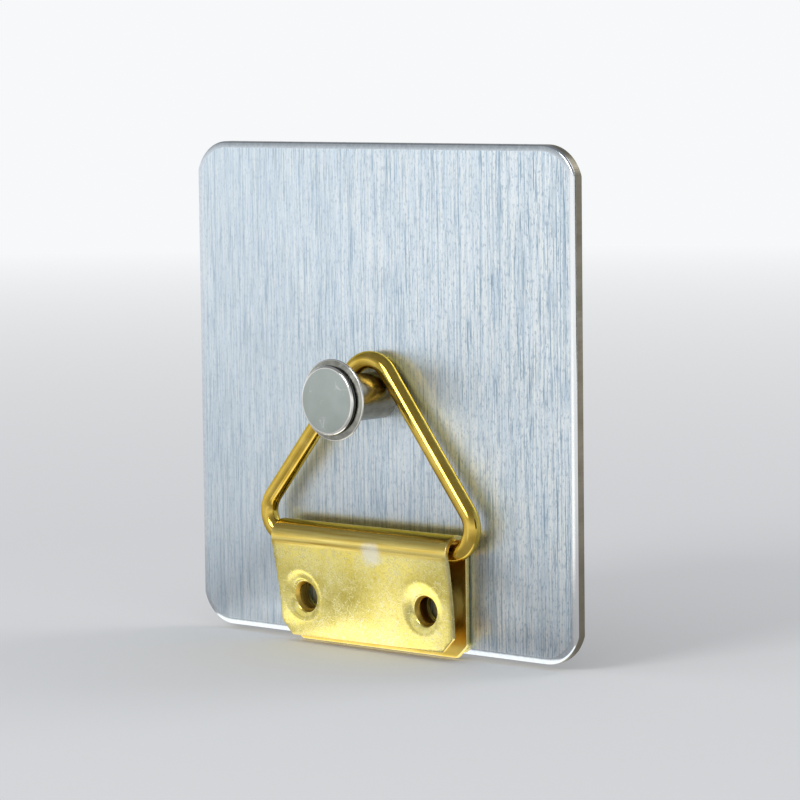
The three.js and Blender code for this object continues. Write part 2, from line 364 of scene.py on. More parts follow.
def peg_mesh(solid):
    loops = []
    points, finishes = peg_profile()
    for radius, out in points:
        ring = circle((0, 0), radius, TURN_STEPS)
        loops.append(loop_of(solid, [(x, -out, z) for x, z in ring]))
    for index in range(len(loops) - 1):
        bridge(solid, loops[index], loops[index + 1], finishes.get(index, POLISHED))
    drill_tip = solid.verts.new((0, -BORE_END - DRILL_TIP_LENGTH, 0))
    count = len(loops[0])
    for index in range(count):
        solid.faces.new((loops[0][index], loops[0][(index + 1) % count], drill_tip))
    face = solid.faces.new(loops[-1])
    face.material_index = SATIN


# Ring
def ring_stations():
    """The wire's axis as (x, z) from end to end, and the height of its apex bend over the bar."""
    bend_x = RING_HALF_WIDTH - WIRE_RADIUS - RING_BEND_RADIUS
    fall = RING_DROP - RING_BEND_RADIUS
    leg_reach = NECK_RADIUS + RING_CLEARANCE + WIRE_RADIUS
    span = math.hypot(bend_x, fall)
    spread = math.atan2(bend_x, fall) - math.asin((leg_reach - RING_BEND_RADIUS) / span)
    apex_z = RING_DROP + (leg_reach - APEX_BEND_RADIUS) / math.sin(spread)
    right = arc((bend_x, RING_BEND_RADIUS), RING_BEND_RADIUS, -QUARTER, spread, BEND_STEPS)
    apex = arc((0, apex_z), APEX_BEND_RADIUS, spread, math.pi - spread, BEND_STEPS)
    left = arc((-bend_x, RING_BEND_RADIUS), RING_BEND_RADIUS, math.pi - spread, 3 * QUARTER, BEND_STEPS)
    end = WIRE_END_GAP / 2
    points = run((end, 0), right[0]) + right + run(right[-1], apex[0])[1:] + apex
    points += run(apex[-1], left[0])[1:] + left + run(left[-1], (-end, 0))[1:] + [(-end, 0)]
    return points, apex_z


def ring_mesh(solid):
    points, apex_z = ring_stations()
    lean_back = BAR_FRONT - PLATE_FRONT - WIRE_RADIUS - APEX_CLEARANCE
    lean = Matrix.Rotation(-math.asin(lean_back / (apex_z + APEX_BEND_RADIUS)), 3, "X")
    place = Vector((0, -BAR_FRONT, -RING_DROP))
    loops = []
    for index, (x, z) in enumerate(points):
        before = Vector(points[max(index - 1, 0)])
        after = Vector(points[min(index + 1, len(points) - 1)])
        along = (after - before).normalized()
        side = Vector((along.y, 0, -along.x))
        is_end = index in (0, len(points) - 1)
        radius = WIRE_RADIUS - (WIRE_END_BREAK if is_end else 0)
        loop = []
        for a, b in circle((0, 0), radius, WIRE_SIDES):
            loop.append(lean @ (Vector((x, 0, z)) + a * side + Vector((0, b, 0))) + place)
        loops.append(loop_of(solid, loop))
    for first, second in zip(loops, loops[1:]):
        bridge(solid, first, second)
    solid.faces.new(loops[0])
    solid.faces.new(loops[-1])


# Strap
HOLE_FIELD = DISH_RADIUS + ROW_STEP
# The flat strip's faces are made inside its outline only, and points this close are one. A face
# outside a hole's field lies beyond the middles of the chords that outline the field
INSIDE_ONLY = 1
SAME_POINT = MM / 1e4
CHORD_SLACK = 0.001
HOLE_CHORD = math.cos(2 * QUARTER / HOLE_STEPS) - CHORD_SLACK
BARREL_MIDDLE = BARREL_INNER + SHEET / 2
BARREL_TURN = math.pi + FRONT_LEAF_LEAN
FOLD_START = BACK_LEAF_LENGTH
FOLD_END = FOLD_START + BARREL_TURN * BARREL_MIDDLE
STRIP_LENGTH = FOLD_END + FRONT_LEAF_LENGTH
HOLES = [
    (side * HOLE_X, place, radius)
    for side in (-1, 1)
    for place, radius in ((FOLD_START - HOLE_DROP, HOLE_RADIUS), (FOLD_END + HOLE_DROP, FUNNEL_RADIUS))
]


def folded(along, up, height):
    """A point of the flat strip, at a height over its inner face, in its place on the folded strap."""
    reach = BARREL_INNER + height
    if up < FOLD_START:
        out, rise = -reach, up - FOLD_START
    elif up < FOLD_END:
        angle = math.pi - (up - FOLD_START) / BARREL_MIDDLE
        out, rise = reach * math.cos(angle), reach * math.sin(angle)
    else:
        left = up - FOLD_END
        left += SKEW * (left / FRONT_LEAF_LENGTH) ** 3 * (1 - along / STRAP_HALF_WIDTH) / 2
        straighten = (FRONT_LEAF_END_LEAN - FRONT_LEAF_LEAN) / FRONT_LEAF_LENGTH
        lean = FRONT_LEAF_LEAN + straighten * left
        first_cos, first_sin = math.cos(FRONT_LEAF_LEAN), math.sin(FRONT_LEAF_LEAN)
        out = BARREL_INNER * first_cos + (math.cos(lean) - first_cos) / straighten
        rise = -BARREL_INNER * first_sin - (math.sin(lean) - first_sin) / straighten
        out += height * math.cos(lean)
        rise -= height * math.sin(lean)
    return Vector((along, -BAR_FRONT - out, -RING_DROP + rise))


def strip_corners():
    """The flat strip's outline: a rectangle whose corners are cut off."""
    half, cut, end = STRAP_HALF_WIDTH, LEAF_CORNER_CUT, STRIP_LENGTH
    return [
        (half, cut), (half, end - cut), (half - cut, end), (cut - half, end),
        (-half, end - cut), (-half, cut), (cut - half, 0), (half - cut, 0),
    ]


def strip_rows():
    """Places along the strip where its rows of points lie: close where it is folded."""
    rows = []
    for start, end, spacing in (
        (0, FOLD_START, LEAF_ROW_SPACING),
        (FOLD_START, FOLD_END, 1),
        (FOLD_END, STRIP_LENGTH, LEAF_ROW_SPACING),
    ):
        count = math.ceil((end - start) / ROW_STEP / spacing)
        rows += [start + (end - start) * step / count for step in range(count)]
    return rows + [STRIP_LENGTH]


def strip_outline(inset):
    """The strip's outline, drawn in by the inset, with each corner rounded off."""
    corners = [Vector(corner) for corner in strip_corners()]
    count = len(corners)
    bends = []
    for index, corner in enumerate(corners):
        arriving = (corner - corners[index - 1]).normalized()
        leaving = (corners[(index + 1) % count] - corner).normalized()
        outward = Vector((arriving.y + leaving.y, -arriving.x - leaving.x))
        middle = corner - outward * LEAF_CORNER_ROUND / (1 + arriving.dot(leaving))
        start = math.atan2(-arriving.x, arriving.y)
        turn = math.acos(arriving.dot(leaving))
        bends.append(arc(middle, LEAF_CORNER_ROUND - inset, start, start + turn, ROUND_STEPS))
    points = []
    rows = strip_rows()
    for index in range(count):
        points += bends[index]
        start, end = Vector(bends[index][-1]), Vector(bends[(index + 1) % count][0])
        if abs(end.x - start.x) < SHEET_EDGE_ROUND:
            low, high = sorted((start.y, end.y))
            stations = [row for row in rows if low + SHEET_EDGE_ROUND < row < high - SHEET_EDGE_ROUND]
            stations.sort(reverse=end.y < start.y)
            points += [(start.x, row) for row in stations]
        else:
            steps = max(1, round((end - start).length / COLUMN_STEP))
            points += [tuple(start.lerp(end, step / steps)) for step in range(1, steps)]
    return points


def pressed(along, up, outer_radius, depth):
    """How far the front leaf is pressed in round its holes, a little off their middles."""
    for x, y, radius in HOLES:
        reach = math.hypot(along - x + DISH_SHIFT, up - y + DISH_SHIFT)
        if radius == FUNNEL_RADIUS and reach < outer_radius:
            share = min(1, (outer_radius - reach) / (outer_radius - FUNNEL_RADIUS))
            return depth * (1 - math.cos(share * QUARTER))
    return 0


def waviness(along, up):
    """Thin sheet isn't true: the front leaf waves, is pinched on its left and flares at its end."""
    share = max(0, min(1, (up - FOLD_END) / (FRONT_LEAF_LENGTH / 2)))
    place = Vector((along / WAVE_LENGTH, up / WAVE_LENGTH, share))
    flare = max(0, (up - STRIP_LENGTH + FLARE_LENGTH) / FLARE_LENGTH) ** 2
    down = max(0, (up - FOLD_END) / FRONT_LEAF_LENGTH)
    side = along / STRAP_HALF_WIDTH
    pinch = PINCH_DEPTH * down * (1 - side) / 2
    return WAVE_HEIGHT * share * noise.noise(place) + FLARE_HEIGHT * flare * (1 + side / 2) - pinch


def outer_face(along, up):
    sunk = pressed(along, up, DISH_RADIUS, DISH_DEPTH)
    return folded(along, up, SHEET - sunk + waviness(along, up))


def inner_face(along, up):
    sunk = pressed(along, up, COLLAR_RADIUS, FUNNEL_DEPTH - SHEET)
    return folded(along, up, waviness(along, up) - sunk)


def strap_mesh(solid):
    """The strip is meshed flat, with its holes, and each point is then put in its folded place."""
    loops = [strip_outline(SHEET_EDGE_ROUND)] + [hole_loop(x, y, HOLE_FIELD) for x, y, _ in HOLES]
    points, edges = [], []
    for loop in loops:
        first = len(points)
        points += loop
        edges += [(first + index, first + (index + 1) % len(loop)) for index in range(len(loop))]
    points += grid_points()
    flat = [Vector(point) for point in points]
    places, _, faces, sources, _, _ = delaunay_2d_cdt(flat, edges, [], INSIDE_ONLY, SAME_POINT)
    outer = [solid.verts.new(outer_face(*place)) for place in places]
    inner = [solid.verts.new(inner_face(*place)) for place in places]
    for face in faces:
        middle = sum((places[index] for index in face), Vector((0, 0))) / len(face)
        if all(math.hypot(middle.x - x, middle.y - y) > HOLE_FIELD * HOLE_CHORD for x, y, _ in HOLES):
            solid.faces.new([outer[index] for index in face])
            solid.faces.new([inner[index] for index in reversed(face)]).material_index = STRAP_INSIDE
    where = {point: index for index, merged in enumerate(sources) for point in merged}
    first = 0
    for number, loop in enumerate(loops):
        here = [where[first + index] for index in range(len(loop))]
        first += len(loop)
        top, bottom = [outer[index] for index in here], [inner[index] for index in here]
        if number == 0:
            outline_band(solid, top, bottom)
        else:
            hole_bands(solid, HOLES[number - 1], top, bottom)


def grid_points():
    """Rows and columns of points that fill the strip's outline, clear of its edges and holes."""
    points = []
    columns = round(2 * STRAP_HALF_WIDTH / COLUMN_STEP)
    margin = COLUMN_STEP / 4
    for row in strip_rows():
        for column in range(1, columns):
            x = 2 * STRAP_HALF_WIDTH * column / columns - STRAP_HALF_WIDTH
            cut = LEAF_CORNER_CUT - min(row, STRIP_LENGTH - row) + margin
            inside = abs(x) < STRAP_HALF_WIDTH - max(margin, cut) and margin < row < STRIP_LENGTH - margin
            if inside and all(math.hypot(x - hx, row - hy) > HOLE_FIELD + margin for hx, hy, _ in HOLES):
                points.append((x, row))
    return points


def hole_loop(x, y, radius):
    return circle((x, y), radius, HOLE_STEPS)


def edge_steps():
    """(share of the sheet's height, inset) down the sheet's rounded edge, without its two ends."""
    steps = []
    turn = SHEET_EDGE_ROUND / SHEET
    for step in range(1, EDGE_STEPS + 1):
        angle = QUARTER * step / EDGE_STEPS
        steps.append((1 - turn * (1 - math.cos(angle)), SHEET_EDGE_ROUND * (1 - math.sin(angle))))
    return steps + [(1 - share, inset) for share, inset in reversed(steps)]


def bands(solid, loops, material):
    for first, second in zip(loops, loops[1:]):
        bridge(solid, first, second, material)


def outline_band(solid, top, bottom):
    """The strip's sheared edge, rounded over at both faces."""
    loops = [top]
    for share, inset in edge_steps():
        flat = strip_outline(inset)
        loops.append(loop_of(solid, [folded(x, y, SHEET * share + waviness(x, y)) for x, y in flat]))
    bands(solid, loops + [bottom], STRAP_EDGE)


def hole_bands(solid, hole, top, bottom):
    """The face round a hole as rings, on both sides, with the hole's wall between them."""
    x, y, radius = hole
    start = radius + SHEET_EDGE_ROUND
    steps = [start + (HOLE_FIELD - start) * ring / DISH_RINGS for ring in range(DISH_RINGS)]
    rings = [hole_loop(x, y, reach) for reach in steps]
    upper = [loop_of(solid, [outer_face(*point) for point in ring]) for ring in rings] + [top]
    lower = [loop_of(solid, [inner_face(*point) for point in ring]) for ring in rings] + [bottom]
    wall = [upper[0]]
    for height, reach in hole_wall(radius):
        flat = hole_loop(x, y, reach)
        wall.append(loop_of(solid, [folded(*point, height + waviness(*point)) for point in flat]))
    bands(solid, upper, LEAF_FACE)
    bands(solid, lower, STRAP_INSIDE)
    bands(solid, wall + [lower[0]], STRAP_INSIDE if radius == HOLE_RADIUS else FUNNEL_WALL)


def hole_wall(radius):
    """(height, radius) down a hole's wall: plain in the back leaf, a cone and collar in the front one."""
    if radius == HOLE_RADIUS:
        return [(SHEET * share, radius + inset) for share, inset in edge_steps()]
    rim = SHEET - DISH_DEPTH
    return [
        (rim - SHEET_EDGE_ROUND / 2, radius),
        (rim - FUNNEL_CONE_DEPTH, FUNNEL_END_RADIUS + SHEET_EDGE_ROUND),
        (rim - FUNNEL_CONE_DEPTH - SHEET_EDGE_ROUND, FUNNEL_END_RADIUS),
        (SHEET - FUNNEL_DEPTH + SHEET_EDGE_ROUND, FUNNEL_END_RADIUS),
        (SHEET - FUNNEL_DEPTH, FUNNEL_END_RADIUS + SHEET_EDGE_ROUND),
    ]


# Colours: a pair holds the ends that a finish varies between, and a rim is a metal's tint at low angles
PLATE_SILVER = ((0.67, 0.785, 0.885), (0.77, 0.88, 0.975))
DARK_LINES = (0.30, 0.42, 0.53)
PALE_LINES = (0.93, 0.985, 1.0)
LONG_DARK_LINES = (0.36, 0.48, 0.58)
LONG_PALE_LINES = (0.94, 0.99, 1.0)
DARK_SPECKS = (0.34, 0.46, 0.58)
EDGE_SILVER = ((0.62, 0.68, 0.74), (0.74, 0.80, 0.85))
# Painted highlight: the rolled edge's right side is near white
HIGHLIGHT_EDGE_SILVER = (0.92, 0.94, 0.95)
# Painted shade and reflection: the plate's sheared side is dark brown, not silver
SHADED_SHEAR_METAL = ((0.25, 0.225, 0.165), (0.35, 0.32, 0.25))
FOAM_BROWN = ((0.10, 0.09, 0.075), (0.15, 0.135, 0.11))
NICKEL = ((0.82, 0.81, 0.77), (0.92, 0.91, 0.87))
SATIN_NICKEL = ((0.42, 0.47, 0.44), (0.49, 0.535, 0.51))
NICKED_NICKEL = (0.85, 0.87, 0.86)
# Painted shade: the groove round the disc's back is painted near black
GROOVE_SHADE_NICKEL = ((0.07, 0.07, 0.06), (0.16, 0.16, 0.14))
# Painted shade: the neck under the disc is painted a dark, warm grey
NECK_SHADE_NICKEL = ((0.30, 0.27, 0.21), (0.43, 0.39, 0.32))
# Painted shade: the flange's front slope under the disc is painted a darker grey
SLOPE_SHADE_NICKEL = ((0.30, 0.30, 0.26), (0.50, 0.50, 0.45))
ZINC_GREY = ((0.50, 0.51, 0.52), (0.66, 0.67, 0.67))
WIRE_BRASS = ((0.64, 0.425, 0.06), (0.82, 0.585, 0.13))
WIRE_BRASS_RIM = (0.9, 0.76, 0.4, 1)
LEAF_BRASS = ((0.85, 0.715, 0.17), (0.96, 0.855, 0.32))
DARK_CURLS_BRASS = (0.46, 0.38, 0.08)
PALE_CURLS_BRASS = (1.0, 0.97, 0.72)
FOLD_BRASS = ((0.80, 0.55, 0.10), (1.0, 0.82, 0.26))
# Painted shade on the fold's top and on its side towards the plate
FOLD_SHADE_BRASS = (0.22, 0.15, 0.03)
FOLD_HIGHLIGHT_BRASS = (0.98, 0.97, 0.84)
SHEET_BRASS_RIM = (0.95, 0.80, 0.38, 1)
INNER_BRASS = ((0.80, 0.56, 0.10), (0.92, 0.70, 0.18))
# Painted shade: the front holes' funnel walls are a darker brown
SHADED_HOLE_BRASS = ((0.62, 0.42, 0.08), (0.78, 0.56, 0.12))
DULL_BRASS_RIM = (0.8, 0.6, 0.3, 1)
# Painted shade deep in the holes, between the leaves
HOLE_SHADE = (0.06, 0.045, 0.015)
SHEARED_BRASS = ((0.80, 0.62, 0.20), (0.96, 0.80, 0.38))
SHEARED_BRASS_RIM = (0.95, 0.8, 0.4, 1)

# Finishes, with lengths in millimetres. A noise stays mostly within its middle, and a finish fades
# in from the first number of a pair to the second
NOISE_MIDDLE = (0.3, 0.7)
NARROW_MIDDLE = (0.35, 0.65)
STRONG_BRUSHING = (-25, 25)
WEAKEST_BRUSHING = 0.45
HIGHLIGHT_EDGE_X = (29.25, 29.5)
LEAF_TOP = (-RING_DROP - BARREL_INNER) / MM
LEAF_FADE = (LEAF_TOP + 1.1, LEAF_TOP + 0.6)
FOLD_SHADE_ABOVE = (LEAF_TOP + 2.9, LEAF_TOP + 3.5)
FOLD_SHADE_BEHIND = (-5, -4.2)
FOLD_SHADE_SHARE = 0.75
HOLE_SHADE_REACH = (4, 2.6)
# A painted highlight on the fold: its middle, size, edge, share and added roughness
HIGHLIGHT_SPOT_X = 2.2
HIGHLIGHT_SPOT_Z = -18.6
HIGHLIGHT_SPOT_SCALE = (0.55, 0, 0.6)
HIGHLIGHT_SPOT_EDGE = (1.6, 0.95)
HIGHLIGHT_SPOT_SHARE = 0.75
HIGHLIGHT_SPOT_ROUGHNESS = 0.12
STREAKS_SHOWN = (0.35, 0.62)
CURL_BEND = 2.5
CURL_BEND_SCALE = 0.5
CURL_PATCHES = 0.9
PALE_CURLS = ((0.8, 0.05), (1.7, 0.08))
PALE_CURLS_SHOWN = (0.48, 0.6)
PALE_CURLS_SHARE = 0.5
PALE_CURLS_ROUGHNESS = 0.1
DARK_CURLS = ((1.1, 0.05), (2.1, 0.08))
DARK_CURLS_SHOWN = (0.58, 0.46)
DARK_CURLS_SHARE = 0.42
NICKS = ((0.55, 0.02),)
NICKS_SHOWN = (0.6, 0.66)
NICKS_SHARE = 0.5


class Nodes:
    """Builds a material's or world's nodes: each call adds one, and links or sets what it is given."""

    def __init__(self, owner):
        self.owner = owner
        owner.use_nodes = True
        self.tree = owner.node_tree
        self.tree.nodes.clear()

    def add(self, kind, inputs=None, **settings):
        node = self.tree.nodes.new("ShaderNode" + kind)
        for key, value in settings.items():
            setattr(node, key, value)
        for key, value in (inputs or {}).items():
            if isinstance(value, bpy.types.NodeSocket):
                self.tree.links.new(value, node.inputs[key])
            else:
                node.inputs[key].default_value = value
        return node

    def place(self, scale=(1, 1, 1)):
        """The point in the part's frame, in millimetres, stretched by the scale."""
        point = self.add("TexCoord").outputs["Object"]
        scale = tuple(value / MM for value in scale)
        return self.add("Mapping", {"Vector": point, "Scale": scale}).outputs["Vector"]

    def axis(self, name):
        """X, Y or Z in the part's frame, in millimetres."""
        return self.add("SeparateXYZ", {0: self.place()}).outputs[name]

    def noise(self, scale, detail=2, rough=0.5):
        """A noise with as many cells to the millimetre as the scale says for X, Y and Z."""
        inputs = {"Vector": self.place(scale), "Scale": 1, "Detail": detail, "Roughness": rough}
        return self.add("TexNoise", inputs).outputs["Fac"]

    def spread(self, value, low, high, to_low=0, to_high=1):
        inputs = {"Value": value, "From Min": low, "From Max": high, "To Min": to_low, "To Max": to_high}
        return self.add("MapRange", inputs).outputs["Result"]

    def vary(self, noise, low, high):
        """A value that runs from low to high through a noise's middle."""
        return self.spread(noise, *NOISE_MIDDLE, low, high)

    def tint(self, noise, low, high):
        """A colour that runs from low to high through a noise's middle."""
        return self.mix(self.spread(noise, *NOISE_MIDDLE), low, high)

    def math(self, operation, a, b):
        return self.add("Math", {0: a, 1: b}, operation=operation).outputs["Value"]

    def length(self, vector):
        return self.add("VectorMath", {0: vector}, operation="LENGTH").outputs["Value"]

    def mix(self, share, a, b):
        """A blend of two colours: they are inputs 6 and 7 of a Mix node, and output 2 is the blend."""
        node = self.add("Mix", data_type="RGBA")
        for key, value in ((0, share), (6, a), (7, b)):
            if isinstance(value, bpy.types.NodeSocket):
                self.tree.links.new(value, node.inputs[key])
            else:
                node.inputs[key].default_value = (*value, 1) if isinstance(value, tuple) else value
        return node.outputs[2]

    def bump(self, height, distance):
        inputs = {"Height": height, "Distance": distance, "Strength": 1}
        return self.add("Bump", inputs).outputs["Normal"]

    def surface(self, inputs):
        shader = self.add("BsdfPrincipled", inputs)
        self.add("OutputMaterial", {"Surface": shader.outputs["BSDF"]})
        return self.owner


def new_material(name):
    return Nodes(bpy.data.materials.new(name))


def curls(n, bent, point, layers, shown):
    """Fine lines that curl about: the seams between bent cells, here and there."""
    lines = None
    for scale, width in layers:
        cells = n.add("TexVoronoi", {"Vector": bent, "Scale": scale}, feature="DISTANCE_TO_EDGE")
        line = n.spread(cells.outputs["Distance"], 0, width, 1, 0)
        inputs = {"Vector": point, "Scale": scale * CURL_PATCHES, "Detail": 2}
        here = n.add("TexNoise", inputs).outputs["Fac"]
        line = n.math("MULTIPLY", line, n.spread(here, *shown))
        lines = line if lines is None else n.math("MAXIMUM", lines, line)
    return lines


def brushed_plate():
    """Rolled sheet, brushed up and down: pale and dark lines, short and long, stronger to the right."""
    n = new_material("brushed_plate")
    light = n.noise((5.6, 0.5, 0.2), detail=4, rough=0.7)
    dark = n.noise((4.4, 0.7, 0.2), detail=4, rough=0.7)
    broad = n.noise((1.6, 0.5, 0.1), detail=3, rough=0.6)
    long = n.noise((3.6, 0.5, 0.025), detail=3, rough=0.6)
    speck = n.noise((4, 0.5, 1.5), detail=3, rough=0.6)
    strength = n.spread(n.axis("X"), *STRONG_BRUSHING, WEAKEST_BRUSHING, 1)
    base = n.mix(n.spread(broad, *NARROW_MIDDLE), *PLATE_SILVER)
    for lines, start, full, share, colour in (
        (dark, 0.49, 0.39, 1, DARK_LINES),
        (light, 0.5, 0.55, 1, PALE_LINES),
        (long, 0.45, 0.36, 0.6, LONG_DARK_LINES),
        (long, 0.52, 0.6, 0.9, LONG_PALE_LINES),
        (speck, 0.47, 0.36, 0.6, DARK_SPECKS),
    ):
        shown = n.math("MULTIPLY", n.spread(lines, start, full, 0, share), strength)
        base = n.mix(shown, base, colour)
    tangent = n.add("Tangent", direction_type="UV_MAP", uv_map="grain").outputs["Tangent"]
    return n.surface({
        "Base Color": base,
        "Metallic": 1,
        "Roughness": n.spread(light, *NARROW_MIDDLE, 0.4, 0.3),
        "Anisotropic": 0.85,
        "Tangent": tangent,
        "Normal": n.bump(light, 0.003 * MM),
    })


def rolled_edge():
    """The plate's edge, drawn smooth by the punch, with faint marks. At the right it is painted near
    white, as a painted highlight.
    """
    n = new_material("rolled_edge")
    marks = n.noise((2, 2, 2), detail=3)
    base = n.tint(marks, *EDGE_SILVER)
    # Painted highlight along the right edge
    base = n.mix(n.spread(n.axis("X"), *HIGHLIGHT_EDGE_X), base, HIGHLIGHT_EDGE_SILVER)
    return n.surface({
        "Base Color": base,
        "Metallic": 1,
        "Roughness": n.vary(marks, 0.1, 0.18),
        "Normal": n.bump(marks, 0.004 * MM),
    })


def cut_edge():
    """The plate's sheared side and its plain back, painted dark brown: painted shade with a reflected
    brown tint.
    """
    n = new_material("cut_edge")
    shear = n.noise((3, 0.4, 3), detail=3, rough=0.6)
    blotch = n.noise((0.3, 0.3, 0.3), detail=3)
    base = n.tint(blotch, *SHADED_SHEAR_METAL)
    return n.surface({
        "Base Color": base,
        "Metallic": 1,
        "Roughness": n.vary(shear, 0.3, 0.46),
        "Normal": n.bump(shear, 0.01 * MM),
    })


def foam():
    n = new_material("foam")
    cells = n.noise((5, 5, 5), detail=4, rough=0.7)
    blotch = n.noise((0.2, 0.2, 0.2), detail=2)
    base = n.tint(blotch, *FOAM_BROWN)
    return n.surface({
        "Base Color": base,
        "Roughness": n.vary(cells, 0.75, 0.95),
        "Normal": n.bump(cells, 0.03 * MM),
    })


def polished_nickel():
    n = new_material("polished_nickel")
    haze = n.noise((0.5, 0.5, 0.5), detail=3)
    lathe = n.noise((0.3, 9, 0.3), detail=2)
    base = n.tint(haze, *NICKEL)
    return n.surface({
        "Base Color": base,
        "Metallic": 1,
        "Roughness": n.vary(haze, 0.06, 0.12),
        "Normal": n.bump(lathe, 0.0015 * MM),
    })


def satin_face():
    n = new_material("satin_face")
    grain = n.noise((9, 9, 9), detail=4, rough=0.7)
    haze = n.noise((0.35, 0.35, 0.35), detail=3)
    point = n.place()
    nicks = curls(n, point, point, NICKS, NICKS_SHOWN)
    base = n.tint(haze, *SATIN_NICKEL)
    base = n.mix(n.math("MULTIPLY", nicks, NICKS_SHARE), base, NICKED_NICKEL)
    return n.surface({
        "Base Color": base,
        "Metallic": 1,
        "Roughness": n.vary(haze, 0.3, 0.38),
        "Normal": n.bump(grain, 0.003 * MM),
    })


def shaded_nickel(name, low, high):
    """Nickel painted darker as shade, where the peg's groove, neck and flange slope lie."""
    n = new_material(name)
    painted_shade = n.noise((1.2, 1.2, 1.2), detail=4)
    base = n.tint(painted_shade, low, high)
    return n.surface({
        "Base Color": base,
        "Metallic": 1,
        "Roughness": n.vary(painted_shade, 0.14, 0.26),
    })


def zinc():
    n = new_material("zinc")
    spangle = n.noise((1.5, 1.5, 1.5), detail=3)
    base = n.tint(spangle, *ZINC_GREY)
    return n.surface({
        "Base Color": base,
        "Metallic": 1,
        "Roughness": n.vary(spangle, 0.3, 0.45),
    })


def wire_brass():
    n = new_material("wire_brass")
    haze = n.noise((0.6, 0.6, 0.6), detail=4)
    draw = n.noise((4, 4, 1.2), detail=3)
    base = n.tint(haze, *WIRE_BRASS)
    return n.surface({
        "Base Color": base,
        "Specular Tint": WIRE_BRASS_RIM,
        "Metallic": 1,
        "Roughness": n.vary(haze, 0.1, 0.18),
        "Normal": n.bump(draw, 0.003 * MM),
    })


def highlight_spot(n, point):
    """1 in the middle of the fold's painted highlight spot, with a ragged edge."""
    scale_x, _, scale_z = HIGHLIGHT_SPOT_SCALE
    middle = (-HIGHLIGHT_SPOT_X * scale_x, 0, -HIGHLIGHT_SPOT_Z * scale_z)
    inputs = {"Vector": point, "Location": middle, "Scale": HIGHLIGHT_SPOT_SCALE}
    reach = n.length(n.add("Mapping", inputs).outputs["Vector"])
    ragged = n.noise((1.1, 1.1, 1.1), detail=4)
    return n.spread(n.math("ADD", reach, ragged), *HIGHLIGHT_SPOT_EDGE)


def sheet_brass():
    """Polished sheet: hazy and scratched below the fold, streaked and browner on it, with painted shade
    on its top and back and a painted highlight spot.
    """
    n = new_material("sheet_brass")
    point = n.place()
    bent = n.add("TexNoise", {"Vector": point, "Scale": CURL_BEND_SCALE, "Detail": 4}).outputs["Color"]
    bent = n.add("VectorMath", {0: bent, 1: (CURL_BEND,) * 3}, operation="MULTIPLY").outputs["Vector"]
    bent = n.add("VectorMath", {0: point, 1: bent}, operation="ADD").outputs["Vector"]
    up = n.axis("Z")
    below = n.spread(up, *LEAF_FADE)
    pale = n.math("MULTIPLY", curls(n, bent, point, PALE_CURLS, PALE_CURLS_SHOWN), below)
    dark = n.math("MULTIPLY", curls(n, bent, point, DARK_CURLS, DARK_CURLS_SHOWN), below)
    haze = n.noise((0.3, 0.3, 0.3), detail=5, rough=0.6)
    leaf = n.mix(n.spread(haze, *NARROW_MIDDLE), *LEAF_BRASS)
    leaf = n.mix(n.math("MULTIPLY", dark, DARK_CURLS_SHARE), leaf, DARK_CURLS_BRASS)
    leaf = n.mix(n.math("MULTIPLY", pale, PALE_CURLS_SHARE), leaf, PALE_CURLS_BRASS)
    streaks = n.noise((0.1, 3, 3), detail=3, rough=0.6)
    fold = n.mix(n.spread(streaks, *STREAKS_SHOWN), *FOLD_BRASS)
    # Painted shade: the fold's top edge and the side that faces the plate are painted dark brown
    painted_shade = n.math("MAXIMUM", n.spread(up, *FOLD_SHADE_ABOVE), n.spread(n.axis("Y"), *FOLD_SHADE_BEHIND))
    fold = n.mix(n.math("MULTIPLY", painted_shade, FOLD_SHADE_SHARE), fold, FOLD_SHADE_BRASS)
    base = n.mix(below, fold, leaf)
    # Painted highlight: a near-white spot on the fold's front
    highlight = highlight_spot(n, point)
    base = n.mix(n.math("MULTIPLY", highlight, HIGHLIGHT_SPOT_SHARE), base, FOLD_HIGHLIGHT_BRASS)
    rough = n.spread(haze, *NARROW_MIDDLE, 0.12, 0.24)
    rough = n.math("ADD", rough, n.math("MULTIPLY", pale, PALE_CURLS_ROUGHNESS))
    rough = n.math("ADD", rough, n.math("MULTIPLY", highlight, HIGHLIGHT_SPOT_ROUGHNESS))
    return n.surface({
        "Base Color": base,
        "Specular Tint": SHEET_BRASS_RIM,
        "Metallic": 1,
        "Roughness": rough,
        "Normal": n.bump(pale, 0.004 * MM),
    })


def dull_brass(name, low, high, shade_share):
    """Brass on the strap's inner faces and hole walls: duller and browner, with painted shade that
    darkens it round the holes by the given share.
    """
    n = new_material(name)
    haze = n.noise((0.4, 0.4, 0.4), detail=4)
    base = n.mix(n.spread(haze, *NARROW_MIDDLE), low, high)
    point = n.add("VectorMath", {0: n.place()}, operation="ABSOLUTE").outputs["Vector"]
    place = (-HOLE_X / MM, 0, -(RING_DROP + HOLE_DROP) / MM)
    point = n.add("Mapping", {"Vector": point, "Location": place, "Scale": (1, 0, 1)}).outputs["Vector"]
    # Painted shade: dark round the holes, in the gap between the leaves
    near = n.spread(n.length(point), *HOLE_SHADE_REACH, 0, shade_share)
    base = n.mix(near, base, HOLE_SHADE)
    return n.surface({
        "Base Color": base,
        "Specular Tint": DULL_BRASS_RIM,
        "Metallic": 1,
        "Roughness": n.spread(haze, *NARROW_MIDDLE, 0.32, 0.44),
    })


def sheared_brass():
    n = new_material("sheared_brass")
    shear = n.noise((0.8, 0.8, 0.8), detail=3)
    base = n.tint(shear, *SHEARED_BRASS)
    return n.surface({
        "Base Color": base,
        "Specular Tint": SHEARED_BRASS_RIM,
        "Metallic": 1,
        "Roughness": n.vary(shear, 0.2, 0.32),
        "Normal": n.bump(shear, 0.001 * MM),
    })


# Pieces: their materials come in the order in which their meshes number their finishes
def plate_metal():
    return [brushed_plate(), cut_edge(), rolled_edge()]


